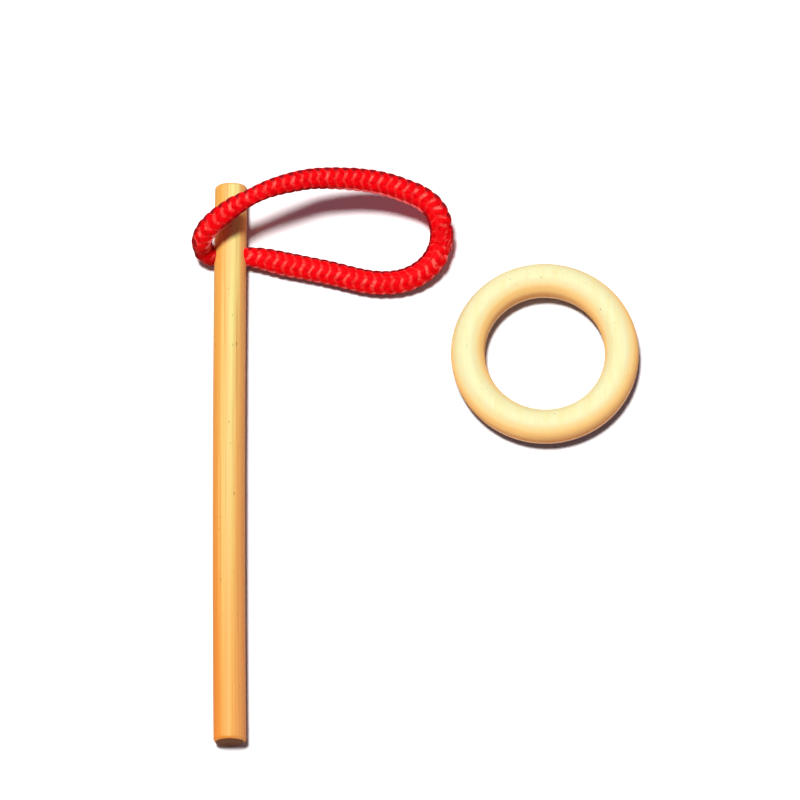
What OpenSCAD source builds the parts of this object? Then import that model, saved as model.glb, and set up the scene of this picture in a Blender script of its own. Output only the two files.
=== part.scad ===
// Rope puzzle: a bamboo stick with a closed loop of knitted cord through its cross hole,
// and a loose turned wooden ring that is brought onto the stick or taken off it.
// The puzzle lies on a table. X runs from the stick to the ring, Y runs along the stick
// towards its corded end, and Z is up from the table top.
// All lengths are in millimetres.

/* [Stick] */
// Length of the bamboo stick
stick_length = 170; // [120:1:240]
// Diameter of the stick
stick_d = 9.5; // [8:0.1:14]
// Radius of the rounding at both ends of the stick
end_round = 1.2; // [0.4:0.1:1.8]

/* [Cord hole] */
// Diameter of the hole drilled across the stick
hole_d = 4.8; // [4:0.1:6.4]
// Distance from the corded end of the stick to the middle of the hole
hole_from_end = 22; // [12:0.5:40]
// Width of the eased edge at each mouth of the hole
hole_edge = 0.4; // [0.1:0.1:0.8]

/* [Ring] */
// Outside diameter of the wooden ring
ring_outer_d = 55; // [40:1:80]
// Diameter of the ring's round section
ring_section_d = 10; // [6:0.5:14]

/* [Cord] */
// Diameter of the knitted cord where it lies free
cord_d = 6.8; // [4:0.1:8]
// Gap all round the cord where it is squeezed through the hole
cord_gap = 0.1; // [0.05:0.05:0.4]

/* [Layout] */
// Distance from the axis of the stick to the centre of the ring
ring_beside = 92.25; // [80:0.25:140]
// Distance of the ring's centre from the middle of the stick, towards the corded end
ring_along = 32; // [-40:1:40]

/* [Hidden] */

// Smoothness of the round pieces
round_fn = 96;
// How far a cutting shape runs past the surface that it cuts
cut_past = 1;

stick_r = stick_d / 2;
ring_r = ring_outer_d / 2;
ring_section_r = ring_section_d / 2;

// The stick and the ring together are centred on X = 0, and the stick on Y = 0
stick_x = -(ring_beside + ring_r - stick_r) / 2;
ring_x = stick_x + ring_beside;
hole_y = stick_length / 2 - hole_from_end;
hole_middle = [stick_x, hole_y, stick_r];

// The cord's full radius, and its radius where the hole squeezes it
cord_r = cord_d / 2;
squeezed_r = hole_d / 2 - cord_gap;
// The hole holds the cord squeezed until this far outside each mouth
swell_at = 0.8;
// Sides of the cord's tube, and its sections in each stretch of the route
cord_sides = 12;
stretch_sections = 2;

// Route of the cord's centre line, from the middle of the hole: out of the mouth that faces
// the ring, down to the table, round the far bend, back over the stick in a free arch,
// and down into the other mouth. The last point leads back to the first.
// After the place comes the share of its full thickness that the soft cord has there.
cord_route = [
    [0, 0, 0, 0.7], [4.75, 0, 0, 0.76], [10.25, -0.7, -0.55, 0.92], [16.25, -2.1, -0.95, 1],
    [22.25, -3.35, -1.15, 1], [28.25, -4.65, -1.25, 1], [34.25, -6.2, -1.3, 1],
    [40.25, -7.7, -1.3, 1], [46.25, -8.2, -1.3, 1], [51.95, -7.4, -0.95, 1],
    [56.75, -5.1, -0.05, 1], [60.45, -1.4, 0.95, 1], [62.25, 3.4, 1.95, 1],
    [62.15, 8.3, 3.25, 1], [60.25, 12.7, 4.65, 1], [56.55, 15.6, 6.05, 1],
    [51.55, 17.5, 7.35, 1], [45.25, 19.15, 8.85, 0.99], [38.25, 19.85, 10.35, 0.97],
    [31.25, 19.7, 12.15, 0.93], [24.25, 18.85, 14.05, 0.88], [17.75, 16.9, 15.95, 0.83],
    [11.65, 14.7, 16.75, 0.75], [6.15, 12.3, 16.05, 0.7], [1.25, 9.8, 14.55, 0.86],
    [-3.15, 6.9, 12.75, 0.93], [-6.3, 4.6, 10.15, 0.9], [-7.8, 2.75, 6.45, 0.83],
    [-7.5, 1.9, 2.35, 0.85], [-6.55, 0.65, 0.5, 0.85], [-4, -0.05, -0.05, 0.7]
];
// A point inside the loop, which every section of the tube faces
loop_inside = [28, 8, 7];

// A smooth curve between b and c, at the share u of the way, with a before them and d after
function between(a, b, c, d, u) =
    b + u * ((c - a) / 2 + u * (a - 2.5 * b + 2 * c - d / 2 + u * (1.5 * (b - c) + (d - a) / 2)));

// Item i of a list that closes on itself
function item(list, i) = list[(i + len(list)) % len(list)];

// A closed route with extra points on the smooth curve through its own
function smooth(route, sections) = [
    for (i = [0 : len(route) - 1], k = [0 : sections - 1])
        between(item(route, i - 1), route[i], item(route, i + 1), item(route, i + 2), k / sections)
];

function unit(v) = v / norm(v);

// The place in a point of the route, without its share of the thickness
function place(p) = [p[0], p[1], p[2]];

// The cord's radius at a point of the route
function cord_r_at(p) =
    let (free_r = cord_r * p[3])
    norm(place(p)) < stick_r + swell_at ? min(free_r, squeezed_r) : free_r;

// One section of the tube: its corners round point p, square to the direction t
function section(p, t) =
    let (
        across = unit(cross(cross(t, loop_inside - place(p)), t)),
        up = cross(t, across)
    )
    [for (k = [0 : cord_sides - 1])
        place(p) + cord_r_at(p) * (cos(k * 360 / cord_sides) * across + sin(k * 360 / cord_sides) * up)];

// The closed tube's corners, section after section
function tube_points(line) = [
    for (i = [0 : len(line) - 1])
        each section(line[i], unit(place(item(line, i + 1) - item(line, i - 1))))
];

// Number of the corner with side k on section i
function corner(i, k, count) = (i % count) * cord_sides + k % cord_sides;

// Two triangles for each side of the tube between two sections
function tube_faces(count) = [
    for (i = [0 : count - 1], k = [0 : cord_sides - 1])
        each [
            [corner(i, k, count), corner(i + 1, k, count), corner(i + 1, k + 1, count)],
            [corner(i, k, count), corner(i + 1, k + 1, count), corner(i, k + 1, count)]
        ]
];

// Right half of the stick's outline, from its axis outwards
module stick_outline() {
    square_part = stick_length / 2 - end_round;
    translate([0, -stick_length / 2])
        square([stick_r - end_round, stick_length]);
    translate([0, -square_part])
        square([stick_r, 2 * square_part]);
    for (end = [-1, 1])
        translate([stick_r - end_round, end * square_part])
            circle(r = end_round, $fn = round_fn);
}

// The drilled hole with its two eased mouths, along Z
module hole_cut() {
    cylinder(h = stick_d + 2 * cut_past, d = hole_d, center = true, $fn = round_fn);
    for (turn = [0, 180])
        rotate([turn, 0, 0])
            translate([0, 0, stick_r - hole_edge])
                cylinder(h = 2 * hole_edge, d1 = hole_d, d2 = hole_d + 4 * hole_edge, $fn = round_fn);
}

module stick() {
    color("#f0bc6a")
        difference() {
            translate([stick_x, 0, stick_r])
                rotate([90, 0, 0])
                    rotate_extrude($fn = round_fn)
                        stick_outline();
            translate(hole_middle)
                rotate([0, 90, 0])
                    hole_cut();
        }
}

module cord_loop() {
    line = smooth(cord_route, stretch_sections);
    color("#e8101a")
        translate(hole_middle)
            polyhedron(points = tube_points(line), faces = tube_faces(len(line)), convexity = 4);
}

module ring() {
    color("#f5e3b0")
        translate([ring_x, ring_along, ring_section_r])
            rotate_extrude($fn = round_fn)
                translate([ring_r - ring_section_r, 0])
                    circle(r = ring_section_r, $fn = round_fn);
}

stick();
cord_loop();
ring();
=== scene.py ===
import math

import bpy
import numpy as np
from mathutils import Matrix, Vector


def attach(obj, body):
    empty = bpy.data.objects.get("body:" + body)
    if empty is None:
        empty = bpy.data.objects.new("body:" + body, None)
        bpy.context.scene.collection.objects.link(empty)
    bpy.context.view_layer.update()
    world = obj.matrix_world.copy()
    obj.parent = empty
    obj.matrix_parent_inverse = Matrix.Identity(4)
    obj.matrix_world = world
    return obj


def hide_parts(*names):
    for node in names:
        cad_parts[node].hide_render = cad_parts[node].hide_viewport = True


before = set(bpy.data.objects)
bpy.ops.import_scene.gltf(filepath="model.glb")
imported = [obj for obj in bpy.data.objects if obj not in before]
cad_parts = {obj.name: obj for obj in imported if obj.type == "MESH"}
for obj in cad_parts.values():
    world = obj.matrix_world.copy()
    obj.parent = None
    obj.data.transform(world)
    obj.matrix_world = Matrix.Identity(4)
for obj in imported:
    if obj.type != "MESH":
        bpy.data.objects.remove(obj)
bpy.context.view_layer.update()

mm = 0.001
fullTurn = 2 * math.pi


# For the materials: a wire is the socket of a node, and sums can be written with it
class Wire:
    def __init__(self, finish, socket):
        self.finish = finish
        self.socket = socket

    def axis(self, number):
        return self.finish.node("ShaderNodeSeparateXYZ", None, {0: self}, out=number)

    def __add__(self, other):
        return self.finish.sum("ADD", self, other)

    def __radd__(self, other):
        return self.finish.sum("ADD", other, self)

    def __sub__(self, other):
        return self.finish.sum("SUBTRACT", self, other)

    def __rsub__(self, other):
        return self.finish.sum("SUBTRACT", other, self)

    def __mul__(self, other):
        return self.finish.sum("MULTIPLY", self, other)

    def __rmul__(self, other):
        return self.finish.sum("MULTIPLY", other, self)

    def __abs__(self):
        return self.finish.sum("ABSOLUTE", self)


# The nodes of one material, or of the room
class Finish:
    def __init__(self, owner):
        self.owner = owner
        owner.use_nodes = True
        self.tree = owner.node_tree
        self.tree.nodes.clear()

    # Any node: its settings go in first, then the values, "#" colours or wires of its sockets
    def node(self, kind, settings=None, inputs=None, out=0):
        made = self.tree.nodes.new(kind)
        for name, value in (settings or {}).items():
            setattr(made, name, value)
        for name, value in (inputs or {}).items():
            if isinstance(value, Wire):
                self.tree.links.new(value.socket, made.inputs[name])
            else:
                made.inputs[name].default_value = fromHex(value) if isinstance(value, str) else value
        return Wire(self, made.outputs[out]) if made.outputs else made

    def sum(self, operation, one, other=0.0):
        # Colours are summed by Mix, vectors by Vector Math, and values by Math
        kinds = [item.socket.type for item in (one, other) if isinstance(item, Wire)]
        if "RGBA" in kinds:
            pair = [(v, v, v, 1) if isinstance(v, (int, float)) else v for v in (one, other)]
            return self.blend(1.0, pair[0], pair[1], operation)
        if "VECTOR" in kinds:
            pair = [(v, v, v) if isinstance(v, (int, float)) else v for v in (one, other)]
            settings = {"operation": operation}
            return self.node("ShaderNodeVectorMath", settings, {0: pair[0], 1: pair[1]})
        return self.node("ShaderNodeMath", {"operation": operation}, {0: one, 1: other})

    def smooth(self, value, low, high):
        # 0 below low and 1 above high, with a soft step between
        settings = {"interpolation_type": "SMOOTHSTEP"}
        inputs = {"Value": value, "From Min": low, "From Max": high}
        return self.node("ShaderNodeMapRange", settings, inputs)

    def window(self, value, begin, full, last, end):
        # 1 between full and last, falling softly to 0 at begin and at end
        return self.smooth(value, begin, full) * self.smooth(value, end, last)

    def blend(self, factor, one, other, way="MIX"):
        settings = {"data_type": "RGBA", "blend_type": way}
        return self.node("ShaderNodeMix", settings, {"Factor": factor, 6: one, 7: other}, out=2)

    def paint(self, colour, layers):
        # Layers of a value, where it starts and ends to show, how strongly, and in which colour
        for value, low, high, strength, tint in layers:
            colour = self.blend(self.smooth(value, low, high) * strength, colour, tint)
        return colour

    def place(self):
        return self.node("ShaderNodeTexCoord", out="Object")

    def facing(self, way):
        # 1 where the piece's surface faces this way, 0 where it is edge on
        normal = self.node("ShaderNodeTexCoord", out="Normal")
        settings = {"operation": "DOT_PRODUCT"}
        return self.node("ShaderNodeVectorMath", settings, {0: normal, 1: way}, out="Value")

    def noise(self, place, detail=2.0, rough=0.5):
        inputs = {"Vector": place, "Scale": 1.0, "Detail": detail, "Roughness": rough}
        return self.node("ShaderNodeTexNoise", None, inputs, out="Fac")

    def bump(self, height, distance, strength=1.0):
        inputs = {"Height": height, "Distance": distance, "Strength": strength}
        return self.node("ShaderNodeBump", None, inputs, out="Normal")

    def surface(self, inputs):
        shader = self.node("ShaderNodeBsdfPrincipled", None, inputs)
        self.node("ShaderNodeOutputMaterial", None, {"Surface": shader})
        return self.owner


def newFinish(name):
    return Finish(bpy.data.materials.new(name))


def fromHex(text):
    # A colour as it shows on screen, turned into the linear one that sockets take
    parts = [int(text[i:i + 2], 16) / 255 for i in (1, 3, 5)]
    return (*[c / 12.92 if c <= 0.04045 else ((c + 0.055) / 1.055) ** 2.4 for c in parts], 1)


def meshObject(name, points, faces, material, maps=None):
    mesh = bpy.data.meshes.new(name)
    mesh.from_pydata(np.asarray(points).tolist(), [], faces)
    for layer, corners in (maps or {}).items():
        made = mesh.uv_layers.new(name=layer)
        made.data.foreach_set("uv", np.asarray(corners, np.float32).ravel())
    mesh.materials.append(material)
    mesh.shade_smooth()
    made = bpy.data.objects.new(name, mesh)
    bpy.context.scene.collection.objects.link(made)
    return made


def gridFaces(rows, columns, closedRows=False):
    # Four-sided faces over rows of points, each row closed on itself
    i = np.repeat(np.arange(rows if closedRows else rows - 1), columns)
    k = np.tile(np.arange(columns), len(i) // columns)
    here, there = i * columns, (i + 1) % rows * columns
    beside = (k + 1) % columns
    return np.stack([here + k, here + beside, there + beside, there + k], 1).tolist()


def unit(vectors):
    return vectors / np.linalg.norm(vectors, axis=-1, keepdims=True)


def softStep(value, low, high):
    u = np.clip((value - low) / (high - low), 0, 1)
    return u * u * (3 - 2 * u)


def turnedAway(turn, where):
    # The shorter way round from one turn to another, in radians
    return (turn - where + math.pi) % fullTurn - math.pi


# The camera looks nearly straight down, tilted a little towards the stick's plain end
camera = {
    "lens": 308.04,  # mm
    "sensor": 36,  # mm wide
    "away": 2.0,  # m from the point that it looks at
    "lookAt": (-0.0076929, 0.0197276, 0.0),
    "tilt": 18.5,  # degrees from straight down
    "roll": -0.4954,  # degrees
}


def placeCamera():
    tilt = math.radians(camera["tilt"])
    roll = math.radians(camera["roll"])
    back = Vector((0, -math.sin(tilt), math.cos(tilt)))
    right = Vector((1, 0, 0))
    up = back.cross(right)
    turnedRight = right * math.cos(roll) + up * math.sin(roll)
    turnedUp = up * math.cos(roll) - right * math.sin(roll)
    data = bpy.data.cameras.new("camera")
    data.lens = camera["lens"]
    data.sensor_width = camera["sensor"]
    data.clip_start = 0.1
    data.clip_end = 50
    made = bpy.data.objects.new("camera", data)
    made.matrix_world = Matrix((turnedRight, turnedUp, back)).transposed().to_4x4()
    made.matrix_world.translation = Vector(camera["lookAt"]) + back * camera["away"]
    bpy.context.scene.collection.objects.link(made)
    bpy.context.scene.camera = made
    print("camera placed")


# The cord: a knitted tube of one fat yarn, closed into a loop through the hole
cord = {
    "holeMiddle": (-0.0575, 0.063, 0.00475),
    # Places from the middle of the hole, each with the share of its thickness that it has there
    "route": [
        (0, 0, 0, 0.7), (0.00475, 0, 0, 0.76), (0.01025, -0.0007, -0.00055, 0.92),
        (0.01625, -0.0021, -0.00095, 1), (0.02225, -0.00335, -0.00115, 1),
        (0.02825, -0.00465, -0.00125, 1), (0.03425, -0.0062, -0.0013, 1),
        (0.04025, -0.0077, -0.0013, 1), (0.04625, -0.0082, -0.0013, 1),
        (0.05195, -0.0074, -0.00095, 1), (0.05675, -0.0051, -0.00005, 1),
        (0.06045, -0.0014, 0.00095, 1), (0.06225, 0.0034, 0.00195, 1),
        (0.06215, 0.0083, 0.00325, 1), (0.06025, 0.0127, 0.00465, 1), (0.05655, 0.0156, 0.00605, 1),
        (0.05155, 0.0175, 0.00735, 1), (0.04525, 0.01915, 0.00885, 0.99),
        (0.03825, 0.01985, 0.01035, 0.97), (0.03125, 0.0197, 0.01215, 0.93),
        (0.02425, 0.01885, 0.01405, 0.88), (0.01775, 0.0169, 0.01595, 0.83),
        (0.01165, 0.0147, 0.01675, 0.75), (0.00615, 0.0123, 0.01605, 0.7),
        (0.00125, 0.0098, 0.01455, 0.86), (-0.00315, 0.0069, 0.01275, 0.93),
        (-0.0063, 0.0046, 0.01015, 0.9), (-0.0078, 0.00275, 0.00645, 0.83),
        (-0.0075, 0.0019, 0.00235, 0.85), (-0.00655, 0.00065, 0.0005, 0.85),
        (-0.004, -0.00005, -0.00005, 0.7),
    ],
    "diameter": 0.0068,
    "curveSteps": 24,  # from one point of the route to the next
    "spacing": 0.00025,  # of the points on its middle line
    "stitches": 4,  # in each round of the knit
    "pitch": 0.00270,  # of the rounds, along the cord
    "sway": 0.00052,  # half height of the zigzag that the legs of the stitches make
    "dip": 0.00020,  # how far a leg's two ends lie behind its middle
    "yarnWide": 0.00180,  # half width of the yarn, which its neighbours press flat
    "yarnThick": 0.00085,  # half thickness of the yarn
    "yarnOut": 0.00022,  # how far the yarn stands out past the cord's diameter
    "drift": 0.25,  # turns of the stitch rows round the cord, over its length
    "firstTurn": 0.54,  # radians round the cord, where the knit begins
    "samples": 22,  # points for each stitch
    "sides": 14,
    "unevenAlong": 0.00005,  # how much the stitches differ in place, turn and depth
    "unevenTurn": 0.03,
    "unevenOut": 0.00003,
    "tuckDeep": 0.0006,  # how deep its two ends are tucked in at the joint
    "tuckStitches": 2.5,
    "coreRadius": 0.0022,
    "coreSides": 16,
    "jointAt": (0.06235, 0.0043, 0.00215),  # where its two ends are sewn together
    "jointLong": 0.0052,
    "jointRadius": 0.0033,
    "jointThreads": 130,
    "threadReach": (0.6, 1.5),  # mm, half the length of the shortest and of the longest
    "threadLean": 1.2,  # radians, at most, from the way round the cord
    "threadCurl": 0.5,  # mm, at most
    "threadThick": 0.00015,
    "threadUneven": (0.8, 1.25),  # the thinnest and the thickest, as shares of that
    "threadLift": 0.00004,
    "threadSink": 0.0003,  # at both ends of a thread
    "tableGap": 0.00002,
    "seed": 11,
    # The two ways that its edges face: up to the camera, and towards its own shadow
    "edgeWays": ((0, -0.317, 0.948), (0.3, -0.94, -0.16)),
    "mouthStitches": (127, 132, 146, 149),  # those that turn down into the hole
    "patchTints": ("#E2000A", "#FF0812"),
    "turnShadeTint": "#CC0008",  # painted shade where one leg of a stitch dips into the next
    # painted shadow of the arch on the stitches that turn down into the hole
    "mouthShadeTint": "#BE0008",
    # painted highlight along the flanks of the legs
    "paintedShineTint": "#FF6F64",
    # painted shade along the edges as seen from above
    "edgeShadeTint": "#600416",
    # painted highlight where its edge lies close over its own shadow
    "rimHighlightTint": "#FF807C",
    # painted shade on its underside
    "underShadeTint": "#720005",
    # Painted light: a red glow that the yarn emits, though it is no lamp, to lift its shade: all
    # over, at the rim, at the hole, on the underside of the arch, and where the cord lies on the
    # table
    "glow": (0.14, 0.0, 0.001, 1),
    "rimGlow": (0.26, 0.05, 0.06, 1),
    "mouthGlow": (0.05, 0.0, 0.0, 1),
    "archGlow": (0.27, 0.0, 0.008, 1),
    "lyingGlow": (0.03, 0.0, 0.0, 1),
}


def closedCurve(route, spacing):
    # The same smooth curve through the route's points as in the part, evenly spaced
    p = np.array(route)
    before, after, beyond = np.roll(p, 1, 0), np.roll(p, -1, 0), np.roll(p, -2, 0)
    parts = []
    for u in np.arange(cord["curveSteps"]) / cord["curveSteps"]:
        bend = u * (1.5 * (p - after) + (beyond - before) / 2)
        bend += before - 2.5 * p + 2 * after - beyond / 2
        parts.append(p + u * ((after - before) / 2 + u * bend))
    line = np.stack(parts, 1).reshape(-1, 4)
    line = np.vstack([line, line[:1]])
    along = np.concatenate([[0], np.cumsum(np.linalg.norm(np.diff(line[:, :3], axis=0), axis=1))])
    at = np.linspace(0, along[-1], round(along[-1] / spacing) + 1)
    even = np.stack([np.interp(at, along, line[:, k]) for k in range(4)], 1)
    return even[:, :3], even[:, 3], along[-1]


def turningFrames(line):
    # Side vectors carried along a closed line without twist, with what is left spread evenly
    ahead = unit(np.roll(line[:-1], -1, 0) - np.roll(line[:-1], 1, 0))
    sides = [unit(np.cross(ahead[0], (0, 0, 1.0)))]
    for t in ahead[1:]:
        last = sides[-1]
        sides.append(unit(last - (last @ t) * t))
    sides = np.array(sides)
    ups = np.cross(ahead, sides)
    back = sides[-1] - (sides[-1] @ ahead[0]) * ahead[0]
    left = math.atan2(back @ ups[0], back @ sides[0])
    turn = -left * np.arange(len(sides)) / len(sides)
    c, s = np.cos(turn)[:, None], np.sin(turn)[:, None]
    return sides * c + ups * s, ups * c - sides * s


# The middle line of the cord, and the places on and in the cord that are found from it
class CordLine:
    def __init__(self):
        self.points, self.share, self.long = closedCurve(cord["route"], cord["spacing"])
        self.sides, self.ups = turningFrames(self.points)
        self.count = len(self.sides)
        away = np.linalg.norm(self.points - np.array(cord["jointAt"]), axis=1)
        self.joint = np.argmin(away) / self.count * self.long

    def size(self, along):
        # The share of its full thickness that the cord has there
        at = np.linspace(0, self.long, self.count + 1)
        return np.interp(along % self.long, at, self.share)

    def place(self, along, turn, out):
        # Points at a distance along the cord, a turn round it and a distance out from its middle,
        # with the way that the cord faces there
        at = along % self.long / self.long * self.count
        i = np.floor(at).astype(int) % self.count
        j = (i + 1) % self.count
        u = (at - np.floor(at))[:, None]
        middle = self.points[i] * (1 - u) + self.points[i + 1] * u
        side = unit(self.sides[i] * (1 - u) + self.sides[j] * u)
        up = unit(self.ups[i] * (1 - u) + self.ups[j] * u)
        outward = side * np.cos(turn)[:, None] + up * np.sin(turn)[:, None]
        return middle + outward * out[:, None], outward


def yarnTube(middle, outward, wide, thick, sides, along):
    # Points, faces and map corners of a yarn whose oval section lies flat on the cord. The corners
    # hold places along and round the yarn, and how far the cord faces each of its two edge ways
    run = unit(np.gradient(middle, axis=0))
    level = unit(np.cross(run, outward))
    face = np.cross(level, run)
    section = fullTurn * np.arange(sides) / sides
    flat = level[:, None] * np.cos(section)[None, :, None] * np.reshape(wide, (-1, 1, 1))
    high = face[:, None] * np.sin(section)[None, :, None] * np.reshape(thick, (-1, 1, 1))
    points = (middle[:, None] + flat + high).reshape(-1, 3)
    i = np.repeat(np.arange(len(middle) - 1), sides)
    k = np.tile(np.arange(sides), len(middle) - 1)
    edge = outward @ np.array(cord["edgeWays"]).T
    steps = ((0, 0), (0, 1), (1, 1), (1, 0))
    corners = [np.column_stack([along[i + di], (k + dk) / sides, edge[i + di]]) for di, dk in steps]
    return points, gridFaces(len(middle), sides), np.stack(corners, 1).reshape(-1, 4)


def knitRounds(line, rng):
    # The yarn runs round and round, from one side of the joint to the other
    knitted = line.long - cord["jointLong"]
    rounds = round(knitted / cord["pitch"])
    total = rounds * cord["stitches"]
    t = np.linspace(0, total, total * cord["samples"] + 1)  # in stitches
    phase = fullTurn * t
    stitch = np.floor(t).astype(int)
    u = (t - stitch)[:, None]
    uneven = rng.normal(0, 1, (total + 2, 3))
    uneven = uneven[stitch] * (1 - u) + uneven[stitch + 1] * u
    along = line.joint + cord["jointLong"] / 2 + knitted * t / total
    along += cord["sway"] * np.cos(phase) + cord["unevenAlong"] * uneven[:, 0]
    turn = fullTurn * (t / cord["stitches"] + cord["drift"] * t / total)
    turn += cord["firstTurn"] + cord["unevenTurn"] * uneven[:, 1]
    tucked = softStep(np.minimum(t, total - t), 0, cord["tuckStitches"])
    out = cord["diameter"] / 2 - cord["yarnThick"] + cord["yarnOut"]
    out = out - cord["tuckDeep"] * (1 - tucked)
    out -= cord["dip"] * (0.5 + 0.5 * np.cos(2 * phase)) ** 1.5
    out -= cord["unevenOut"] * np.abs(uneven[:, 2])
    size = line.size(along)
    middle, outward = line.place(along, turn, out * size)
    wide, thick = cord["yarnWide"] * (0.75 + 0.25 * size), cord["yarnThick"] * size
    print("yarn knitted:", rounds, "rounds on", round(line.long / mm, 1), "mm")
    return yarnTube(middle, outward, wide, thick, cord["sides"], t)


def sewThread(line, rng, mapAt):
    # A short thread over the joint of the two ends, curled a little, with its ends sunk in
    u = np.linspace(-1, 1, 11)
    lean = rng.uniform(-cord["threadLean"], cord["threadLean"])
    reach = rng.uniform(*cord["threadReach"]) * mm
    curl = rng.uniform(-cord["threadCurl"], cord["threadCurl"]) * mm * u * u
    along = line.joint + rng.uniform(-0.5, 0.5) * cord["jointLong"]
    along += u * reach * math.sin(lean) + curl
    turn = rng.uniform(0, fullTurn) + (u * reach * math.cos(lean) - curl) / cord["jointRadius"]
    out = cord["jointRadius"] + cord["threadLift"] - cord["threadSink"] * u ** 4
    middle, outward = line.place(along, turn, out)
    thick = cord["threadThick"] * rng.uniform(*cord["threadUneven"])
    return yarnTube(middle, outward, thick * 1.6, thick * 0.8, 6, u * 0.25 + mapAt)


def fillCore(line):
    # A filled core closes the gaps between the stitches, and swells under the joint
    sides, rows = cord["coreSides"], line.count // 3
    along = np.repeat(np.arange(rows) / rows * line.long, sides)
    turn = np.tile(fullTurn * np.arange(sides) / sides, rows)
    swell = softStep(cord["jointLong"] * 0.6 - np.abs(along - line.joint), 0, 0.8 * mm)
    out = cord["coreRadius"] * line.size(along) * (1 - swell) + cord["jointRadius"] * swell
    points, _ = line.place(along, turn, out)
    faces = gridFaces(rows, sides, closedRows=True)
    return points, faces, np.tile((0.0, 0.25, 1.0, 0.0), (4 * len(faces), 1))


def makeCord(yarn):
    line = CordLine()
    rng = np.random.default_rng(cord["seed"])
    parts = [knitRounds(line, rng)]
    for k in range(cord["jointThreads"]):
        # Every third thread has the colour of the leg of a stitch that carries the painted highlight
        parts.append(sewThread(line, rng, 0.25 if k % 3 == 0 else 0.75))
    parts.append(fillCore(line))
    faces = []
    first = 0
    for points, own, _ in parts:
        faces += (np.array(own) + first).tolist()
        first += len(points)
    middle = np.array(cord["holeMiddle"])
    points = np.vstack([part[0] for part in parts]) + middle
    # The soft cord is flat where it lies on the table
    points[:, 2] = np.maximum(points[:, 2], cord["tableGap"])
    corners = np.vstack([part[2] for part in parts])
    maps = {"yarnMap": corners[:, :2], "edgeMap": corners[:, 2:]}
    made = meshObject("cord", points, faces, yarn, maps)
    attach(made, "cord_loop")
    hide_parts("cord_loop")
    print("cord closed, with its joint at", round(line.joint / mm, 1), "mm")


def yarnFinish():
    f = newFinish("red yarn")
    mapped = f.node("ShaderNodeUVMap", {"uv_map": "yarnMap"})
    along, around = mapped.axis(0), mapped.axis(1)
    edge = f.node("ShaderNodeUVMap", {"uv_map": "edgeMap"})
    seen, shaded = edge.axis(0), edge.axis(1)
    height = f.place().axis(2)
    # Along the yarn: 1 in the middle of one leg of a stitch, -1 in the other, 0 between them
    leg = f.sum("SINE", along * fullTurn)
    # Round the yarn: 1 on the flanks, where it meets the rounds beside it
    flank = abs(f.sum("COSINE", around * fullTurn))
    filaments = f.sum("SINE", around * (fullTurn * 15) + along * 5.0)
    patches = f.noise(f.place() * 900.0)
    worn = f.noise(f.place() * 420.0)
    mouth = f.window(along, *cord["mouthStitches"])

    body = f.blend(f.smooth(patches, 0.34, 0.60), *cord["patchTints"])
    # Painted shade: darker red where one leg of a stitch dips into the next
    body = f.blend(f.smooth(abs(leg), 0.30, 0.0) * 0.4, body, cord["turnShadeTint"])
    # Painted shadow: the stitches that turn into the hole lie in the arch's shade
    body = f.blend(mouth * 0.85, body, cord["mouthShadeTint"])
    # Painted highlight: pink strokes in the colour along the flanks of the legs that lean one way,
    # faint on the others
    shine = f.smooth(leg, 0.15, 0.75) + f.smooth(leg, -0.55, -0.95) * 0.3
    shine = shine * f.smooth(flank, 0.38, 0.60) * (1 - mouth * 0.5)
    shine = shine * (0.45 + f.smooth(patches, 0.30, 0.50) * 0.55)
    shine = shine * (0.35 + f.smooth(worn, 0.42, 0.56) * 0.65)
    colour = f.blend(shine, body, cord["paintedShineTint"])

    # Painted shade: a dark line along the cord's edges as seen from above. Painted highlight: a pale
    # one where it lies close over its own shadow
    low = f.smooth(shaded, 0.35, 0.55) * f.smooth(height, 0.0185, 0.0155)
    line = f.smooth(seen, 0.68, 0.44) * (0.15 + f.smooth(flank, 0.92, 0.66) * 0.85)
    colour = f.blend(line * (1 - low) * 0.92, colour, cord["edgeShadeTint"])
    rim = f.window(seen, 0.08, 0.22, 0.38, 0.48) * low * (1 - mouth)
    colour = f.blend(rim * 0.7, colour, cord["rimHighlightTint"])
    # Painted shade on the underside
    under = f.smooth(seen, 0.16, 0.0)
    colour = f.blend(under, colour, cord["underShadeTint"])

    # Painted glow: emitted light that lifts the yarn's shade and reddens the table below it
    glow = f.blend(rim, cord["glow"], cord["rimGlow"])
    glow = f.blend(mouth, glow, cord["mouthGlow"])
    lying = f.smooth(height, 0.0042, 0.0027)
    glow = f.blend(under, glow, f.blend(lying, cord["archGlow"], cord["lyingGlow"]))
    return f.surface({
        "Base Color": colour,
        "Roughness": 0.55,
        "Specular IOR Level": 0.05,
        "Emission Color": glow,
        "Emission Strength": 1.0,
        "Normal": f.bump(filaments, 0.00002, 0.7),
    })


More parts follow.
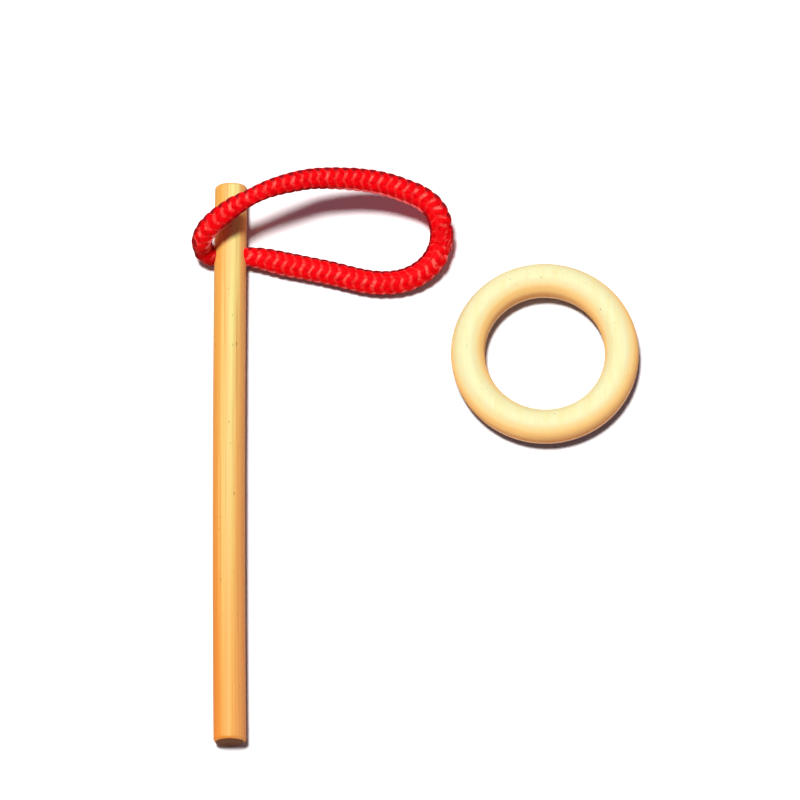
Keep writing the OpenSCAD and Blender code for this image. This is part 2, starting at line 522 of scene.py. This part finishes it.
# The stick: bamboo, turned round and sanded at both ends
stick = {
    "middle": (-0.0575, 0.0, 0.00475),
    "length": 0.170,
    "radius": 0.00475,
    "endRound": 0.0012,
    "holeAt": 0.063,
    "holeRadius": 0.0024,
    "holeEdge": 0.0004,
    "rows": 110,  # of points, from its middle to one end
    "sides": 240,
    "oval": 0.000025,  # how much thinner it is across than its full thickness
    "grooves": 26,  # where fibres were torn out
    "grooveDeep": 0.00006,
    "grooveWide": 0.00016,
    "grooveLong": (8, 30),  # mm, half the length of the shortest and of the longest
    "seed": 5,
    "bow": 0.062,  # how strongly it curves towards the ring at its ends, for each metre
    "bowFrom": -0.022,  # the place along it that lies furthest from the ring
    "bowShift": -0.00007,
    "askew": 0.07,  # how far its corded end leans back, for each metre up
    "litWay": (-0.03, 0.1, 0.99),  # the side that faces the lamp, painted palest
    # Its colours at the plain end and at the corded end; the pale ones are painted light on the side
    # that faces the lamp
    "deepTints": ("#FF9A3A", "#FFC25C"),
    "rosyTints": ("#FFB264", "#FFCA76"),
    "paleTints": ("#FFC060", "#FFF69C"),
    # painted lighting on its flanks
    "flankLightingTint": "#FFCC92",
    "streakTint": "#FFA850",
    "fibreTint": "#EFA040",
    "threadTint": "#BE9444",
    "speckTint": "#7C5222",
    # painted shade underneath
    "underShadeTint": "#6A4524",
    "endTints": ("#6A4022", "#321A0B"),
}


def bowed(along):
    return stick["bow"] * (along - stick["bowFrom"]) ** 2 + stick["bowShift"]


def latheObject(name, outline, sides, axis, at, material):
    # A turned piece: places along its axis with their radius, closed at both ends
    along = np.repeat([p[0] for p in outline], sides)
    radius = np.repeat([p[1] for p in outline], sides)
    turn = np.tile(fullTurn * np.arange(sides) / sides, len(outline))
    points = np.zeros((len(along), 3))
    points[:, axis] = along
    points[:, (axis + 1) % 3] = radius * np.cos(turn)
    points[:, (axis + 2) % 3] = radius * np.sin(turn)
    faces = gridFaces(len(outline), sides)
    last = len(points) - sides
    faces.append(list(range(sides))[::-1])
    faces.append(list(range(last, last + sides)))
    return meshObject(name, points + np.array(at), faces, material)


def wearStick(points):
    # Shallow grooves, a slightly oval section, the bow, and an end that was cut a little askew
    half, radius = stick["length"] / 2, stick["radius"]
    turn = np.arctan2(points[:, 2], points[:, 0])
    rng = np.random.default_rng(stick["seed"])
    worn = stick["oval"] * (0.5 + 0.5 * np.cos(2 * turn + 0.8 + 14 * points[:, 1]))
    for k in range(stick["grooves"]):
        where, at = rng.uniform(-math.pi, math.pi), rng.uniform(-half, half)
        reach = rng.uniform(*stick["grooveLong"]) * mm
        away = np.abs(turnedAway(turn, where)) * radius
        groove = stick["grooveDeep"] * np.exp(-(away / stick["grooveWide"]) ** 2)
        worn += groove * softStep(reach - np.abs(points[:, 1] - at), 0, 4 * mm)
    off = np.hypot(points[:, 0], points[:, 2])
    keep = 1 - worn * softStep(off, 2.5 * mm, 4.2 * mm) / off
    points[:, 0] = points[:, 0] * keep + bowed(points[:, 1])
    points[:, 2] *= keep
    lean = stick["askew"] * np.maximum(points[:, 2], 0)
    points[:, 1] -= lean * softStep(points[:, 1], half - 5 * mm, half)
    return points


def drillStick(made, bamboo):
    # The hole runs across, with eased mouths
    radius, bore, edge = stick["radius"], stick["holeRadius"], stick["holeEdge"]
    out = radius + 0.6 * mm
    reach = [(x, bore + max(0, x - radius + edge)) for x in (0, radius - edge, radius, out)]
    outline = [(-x, r) for x, r in reversed(reach[1:])] + reach
    middle = stick["middle"]
    at = (middle[0] + bowed(stick["holeAt"]), stick["holeAt"], middle[2])
    drill = latheObject("drill", outline, 64, 0, at, bamboo)
    cut = made.modifiers.new("hole", "BOOLEAN")
    cut.operation = "DIFFERENCE"
    cut.solver = "EXACT"
    cut.object = drill
    bpy.context.view_layer.update()
    graph = bpy.context.evaluated_depsgraph_get()
    drilled = bpy.data.meshes.new_from_object(made.evaluated_get(graph))
    made.modifiers.clear()
    made.data = drilled
    bpy.data.objects.remove(drill)
    drilled.shade_smooth()
    drilled.set_sharp_from_angle(angle=math.radians(40))


def makeStick(bamboo):
    half, radius, rounding = stick["length"] / 2, stick["radius"], stick["endRound"]
    corner = [(half - rounding + rounding * math.sin(a), radius - rounding + rounding * math.cos(a))
              for a in np.linspace(0, math.pi / 2, 8)]
    # The end faces are a little hollow
    face = [(half + 0.03 * mm * (r - 1), (radius - rounding) * r) for r in (0.8, 0.6, 0.4, 0.2, 0.02)]
    shank = [(y, radius) for y in np.linspace(0, half - rounding, stick["rows"])[1:-1]]
    side = shank + corner + face
    outline = [(-y, r) for y, r in reversed(side)] + [(0, radius)] + side
    made = latheObject("stick", outline, stick["sides"], 1, stick["middle"], bamboo)
    middle = np.array(stick["middle"])
    points = wearStick(np.array([v.co for v in made.data.vertices]) - middle)
    made.data.vertices.foreach_set("co", (points + middle).ravel())
    drillStick(made, bamboo)
    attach(made, "stick")
    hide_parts("stick")
    print("stick turned and drilled:", len(made.data.polygons), "faces")


def bambooFinish():
    f = newFinish("bamboo")
    place = f.place()
    along = f.smooth(place.axis(1), -stick["length"] / 2, stick["length"] / 2)
    facing = f.facing(stick["litWay"])
    side = f.smooth(f.facing((1, 0, 0)), -0.2, 0.7)
    # Bands of paler and deeper wood, fine fibres, and dark threads among them
    bands = f.noise(place * (480, 6, 480), 2.0)
    streaks = f.noise(place * (1100, 9, 1100) + 11.3, 1.0)
    fibres = f.noise(place * (2600, 20, 2600), 3.0, 0.6)
    threads = f.noise(place * (3600, 13, 3600) + 7.3, 1.0)
    specks = f.noise(place * (1700, 330, 1700) + 3.1, 1.0)
    deep = f.blend(along, *stick["deepTints"])
    rosy = f.blend(along, *stick["rosyTints"])
    pale = f.blend(along, *stick["paleTints"])
    # Painted light: pale on the side that faces the lamp, deeper on the flanks
    light = f.smooth(facing + (bands - 0.5) * 0.7, 0.70, 1.08)
    colour = f.paint(f.blend(light, f.blend(side, deep, rosy), pale), [
        # painted lighting on the flanks that turn from the lamp
        (facing, 0.55, 0.1, 0.7, stick["flankLightingTint"]),
        (streaks, 0.50, 0.66, 0.45, stick["streakTint"]),
        (fibres, 0.52, 0.72, 0.35, stick["fibreTint"]),
        (threads, 0.66, 0.74, 0.5, stick["threadTint"]),
        (specks, 0.755, 0.81, 0.8, stick["speckTint"]),
        # painted shade underneath
        (f.facing((0, 0, -1)), 0.0, 0.3, 0.85, stick["underShadeTint"]),
    ])
    # The cut ends are dark, with the fibre bundles showing as dots
    cut = f.smooth(abs(f.facing((0, 1, 0))), 0.75, 0.97)
    inputs = {"Vector": place * (1500, 0, 1500), "Scale": 1.0}
    dots = f.node("ShaderNodeTexVoronoi", None, inputs, out="Distance")
    colour = f.blend(cut, colour, f.blend(f.smooth(dots, 0.42, 0.15), *stick["endTints"]))
    return f.surface({
        "Base Color": colour,
        "Roughness": 0.42 + fibres * 0.2,
        "Specular IOR Level": 0.3,
        "Normal": f.bump(fibres - f.smooth(threads, 0.66, 0.74) * 0.6, 0.00005, 0.6),
    })


# The ring: turned from pale wood, with a round section
ring = {
    "middle": (0.03475, 0.032, 0.005),
    "major": 0.0225,  # from its centre to the middle of its section
    "section": 0.005,
    "around": 560,
    "sides": 112,
    "flats": 13,  # left by the tool round the section
    "flatDeep": 0.000012,
    "uneven": 0.00002,  # how much the section changes round the ring
    "dents": 14,
    "dentWide": (0.3, 0.6),  # mm
    "dentDeep": (0.02, 0.06),  # mm
    "seed": 3,
    "litWay": (-0.24, 0.36, 0.90),  # the side that faces the lamp, painted palest
    "paleTints": ("#FFFCC4", "#FFF6B4"),
    # painted shade on its flanks
    "flankLightingTint": "#FFCC86",
    "grainTint": "#E8C888",
    "poreTint": "#A8783C",
    # painted shade underneath
    "underShadeTint": "#482C14",
    # painted highlight along the edges that lie over its shadow
    "rimHighlightTint": "#FFE6C8",
    "glow": (0.18, 0.13, 0.03, 1),  # painted light: a glow that its flanks emit, though it is no lamp, for the light thrown up by the table
    "rimGlow": (0.16, 0.14, 0.10, 1),
}


def makeRing(ringWood):
    a = fullTurn * np.repeat(np.arange(ring["around"]), ring["sides"]) / ring["around"]
    b = fullTurn * np.tile(np.arange(ring["sides"]), ring["around"]) / ring["sides"]
    # The tool leaves faint flats round the section, and use leaves small dents
    section = ring["section"] - ring["flatDeep"] * (1 + np.cos(ring["flats"] * b + 0.6 * np.sin(a)))
    section -= ring["uneven"] * (1 + np.cos(2 * a + 1.1)) / 2
    rng = np.random.default_rng(ring["seed"])
    for k in range(ring["dents"]):
        where, about = rng.uniform(0, fullTurn), rng.uniform(-0.4, math.pi + 0.4)
        wide = rng.uniform(*ring["dentWide"]) * mm
        away = np.hypot(turnedAway(a, where) * ring["major"], turnedAway(b, about) * ring["section"])
        section -= rng.uniform(*ring["dentDeep"]) * mm * np.exp(-(away / wide) ** 2)
    reach = ring["major"] + section * np.cos(b)
    points = np.stack([reach * np.cos(a), reach * np.sin(a), section * np.sin(b)], 1)
    faces = gridFaces(ring["around"], ring["sides"], closedRows=True)
    made = meshObject("ring", points + np.array(ring["middle"]), faces, ringWood)
    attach(made, "ring")
    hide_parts("ring")
    print("ring turned")


def ringFinish():
    f = newFinish("pale ring wood")
    place = f.place()
    facing = f.facing(ring["litWay"])
    # Straight grain runs through the board that the ring was turned from
    grain = f.noise(place * (420, 26, 420), 3.0, 0.55)
    fine = f.noise(place * (3000, 160, 3000), 2.0)
    pores = f.noise(place * (2100, 500, 2100) + 5.7, 1.0)
    colour = f.paint(f.blend(f.smooth(grain, 0.35, 0.7), *ring["paleTints"]), [
        # painted shade: orange on the flanks that turn from the lamp
        (facing + (grain - 0.5) * 0.2, 0.92, 0.34, 1.0, ring["flankLightingTint"]),
        (fine, 0.55, 0.75, 0.22, ring["grainTint"]),
        (pores, 0.755, 0.79, 0.7, ring["poreTint"]),
        # painted shade underneath
        (f.facing((0, 0, -1)), 0.05, 0.35, 0.9, ring["underShadeTint"]),
    ])
    # Painted glow on the flanks, for the light thrown up by the table
    glow = f.blend(f.window(facing, -0.1, 0.35, 0.5, 0.85), (0, 0, 0, 1), ring["glow"])
    # Painted highlight: a thin pale line, with its own glow, runs along the edges that lie over its
    # own shadow
    seen, shaded = [f.facing(way) for way in cord["edgeWays"]]
    rim = f.window(seen, 0.0, 0.1, 0.26, 0.40) * f.smooth(shaded, 0.4, 0.7)
    colour = f.blend(rim * 0.7, colour, ring["rimHighlightTint"])
    glow = f.blend(rim, glow, ring["rimGlow"])
    return f.surface({
        "Base Color": colour,
        "Roughness": 0.48 + fine * 0.15,
        "Specular IOR Level": 0.25,
        "Emission Color": glow,
        "Emission Strength": 1.0,
        "Normal": f.bump(fine - f.smooth(pores, 0.76, 0.80) * 0.8, 0.00004, 0.5),
    })


# The table top, the lamp and the pale room
studio = {
    "lampLevel": 0.95,  # what a white surface that faces the lamp shows
    "lampSize": 12.0,  # degrees across
    "lampFall": (0.145, -0.10, -1.0),  # the way that its light travels
    "roomLight": (0.068, 0.056, 0.070, 1),  # the dim light from all round, a little purple
    "roomSeen": (1, 1, 1, 1),
    "tableSeen": (1.35, 1.32, 1.32, 1),  # bright enough to swallow a shadow's palest edge
    "tableBounce": (0.92, 0.60, 0.42, 1),  # the warm light that it throws back on the pieces
    "tableHalf": 3.0,
}


def lightStudio():
    lamp = bpy.data.lights.new("lamp", "SUN")
    lamp.energy = studio["lampLevel"] * math.pi
    lamp.angle = math.radians(studio["lampSize"])
    holder = bpy.data.objects.new("lamp", lamp)
    holder.matrix_world = Vector(studio["lampFall"]).to_track_quat("-Z", "Y").to_matrix().to_4x4()
    bpy.context.scene.collection.objects.link(holder)

    bpy.context.scene.world = bpy.data.worlds.new("room")
    room = Finish(bpy.context.scene.world)
    seen = room.node("ShaderNodeLightPath", out="Is Camera Ray")
    colour = room.blend(seen, studio["roomLight"], studio["roomSeen"])
    back = room.node("ShaderNodeBackground", None, {"Color": colour, "Strength": 1.0})
    room.node("ShaderNodeOutputWorld", None, {"Surface": back})

    f = newFinish("white table")
    seen = f.node("ShaderNodeLightPath", out="Is Camera Ray")
    colour = f.blend(seen, studio["tableBounce"], studio["tableSeen"])
    plain = f.node("ShaderNodeBsdfDiffuse", None, {"Color": colour})
    f.node("ShaderNodeOutputMaterial", None, {"Surface": plain})
    half = studio["tableHalf"]
    corners = [(-half, -half, 0), (half, -half, 0), (half, half, 0), (-half, half, 0)]
    meshObject("table", corners, [(0, 1, 2, 3)], f.owner)
    print("studio lit")


placeCamera()
makeCord(yarnFinish())
makeStick(bambooFinish())
makeRing(ringFinish())
lightStudio()

bpy.context.scene.view_settings.view_transform = "Standard"
